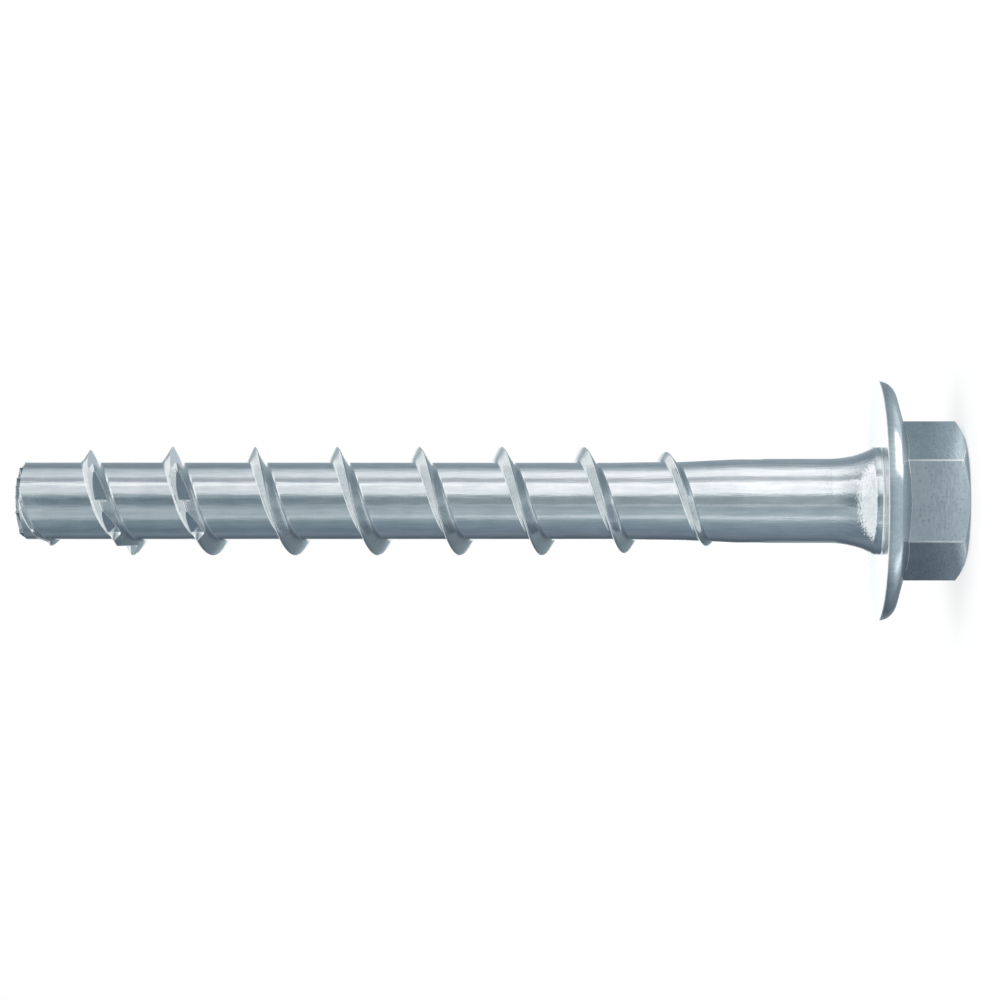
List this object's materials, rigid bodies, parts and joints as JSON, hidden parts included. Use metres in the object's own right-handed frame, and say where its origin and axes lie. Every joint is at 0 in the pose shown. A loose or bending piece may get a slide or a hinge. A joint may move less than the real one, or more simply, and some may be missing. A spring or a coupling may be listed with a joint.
{
  "type": "concrete screw",
  "caption": "Hexagon flange concrete screw, with a coarse thread that has saw-tooth cutting notches at its tip and fades out on a plain shank.",
  "frame": {"origin": "centre of the head's flat top face, on which the screw stands", "axes": "+Z along the shank, from the head to the tip; +X through a corner of the hexagon, so a flat of it faces -Y"},
  "size_m": [0.0224, 0.0224, 0.088],
  "materials": {
    "zinc_plated_steel": "bright zinc plate over cold forged and rolled steel"
  },
  "bodies": {
    "root": {"concrete_screw": "zinc_plated_steel"}
  },
  "joints": []
}
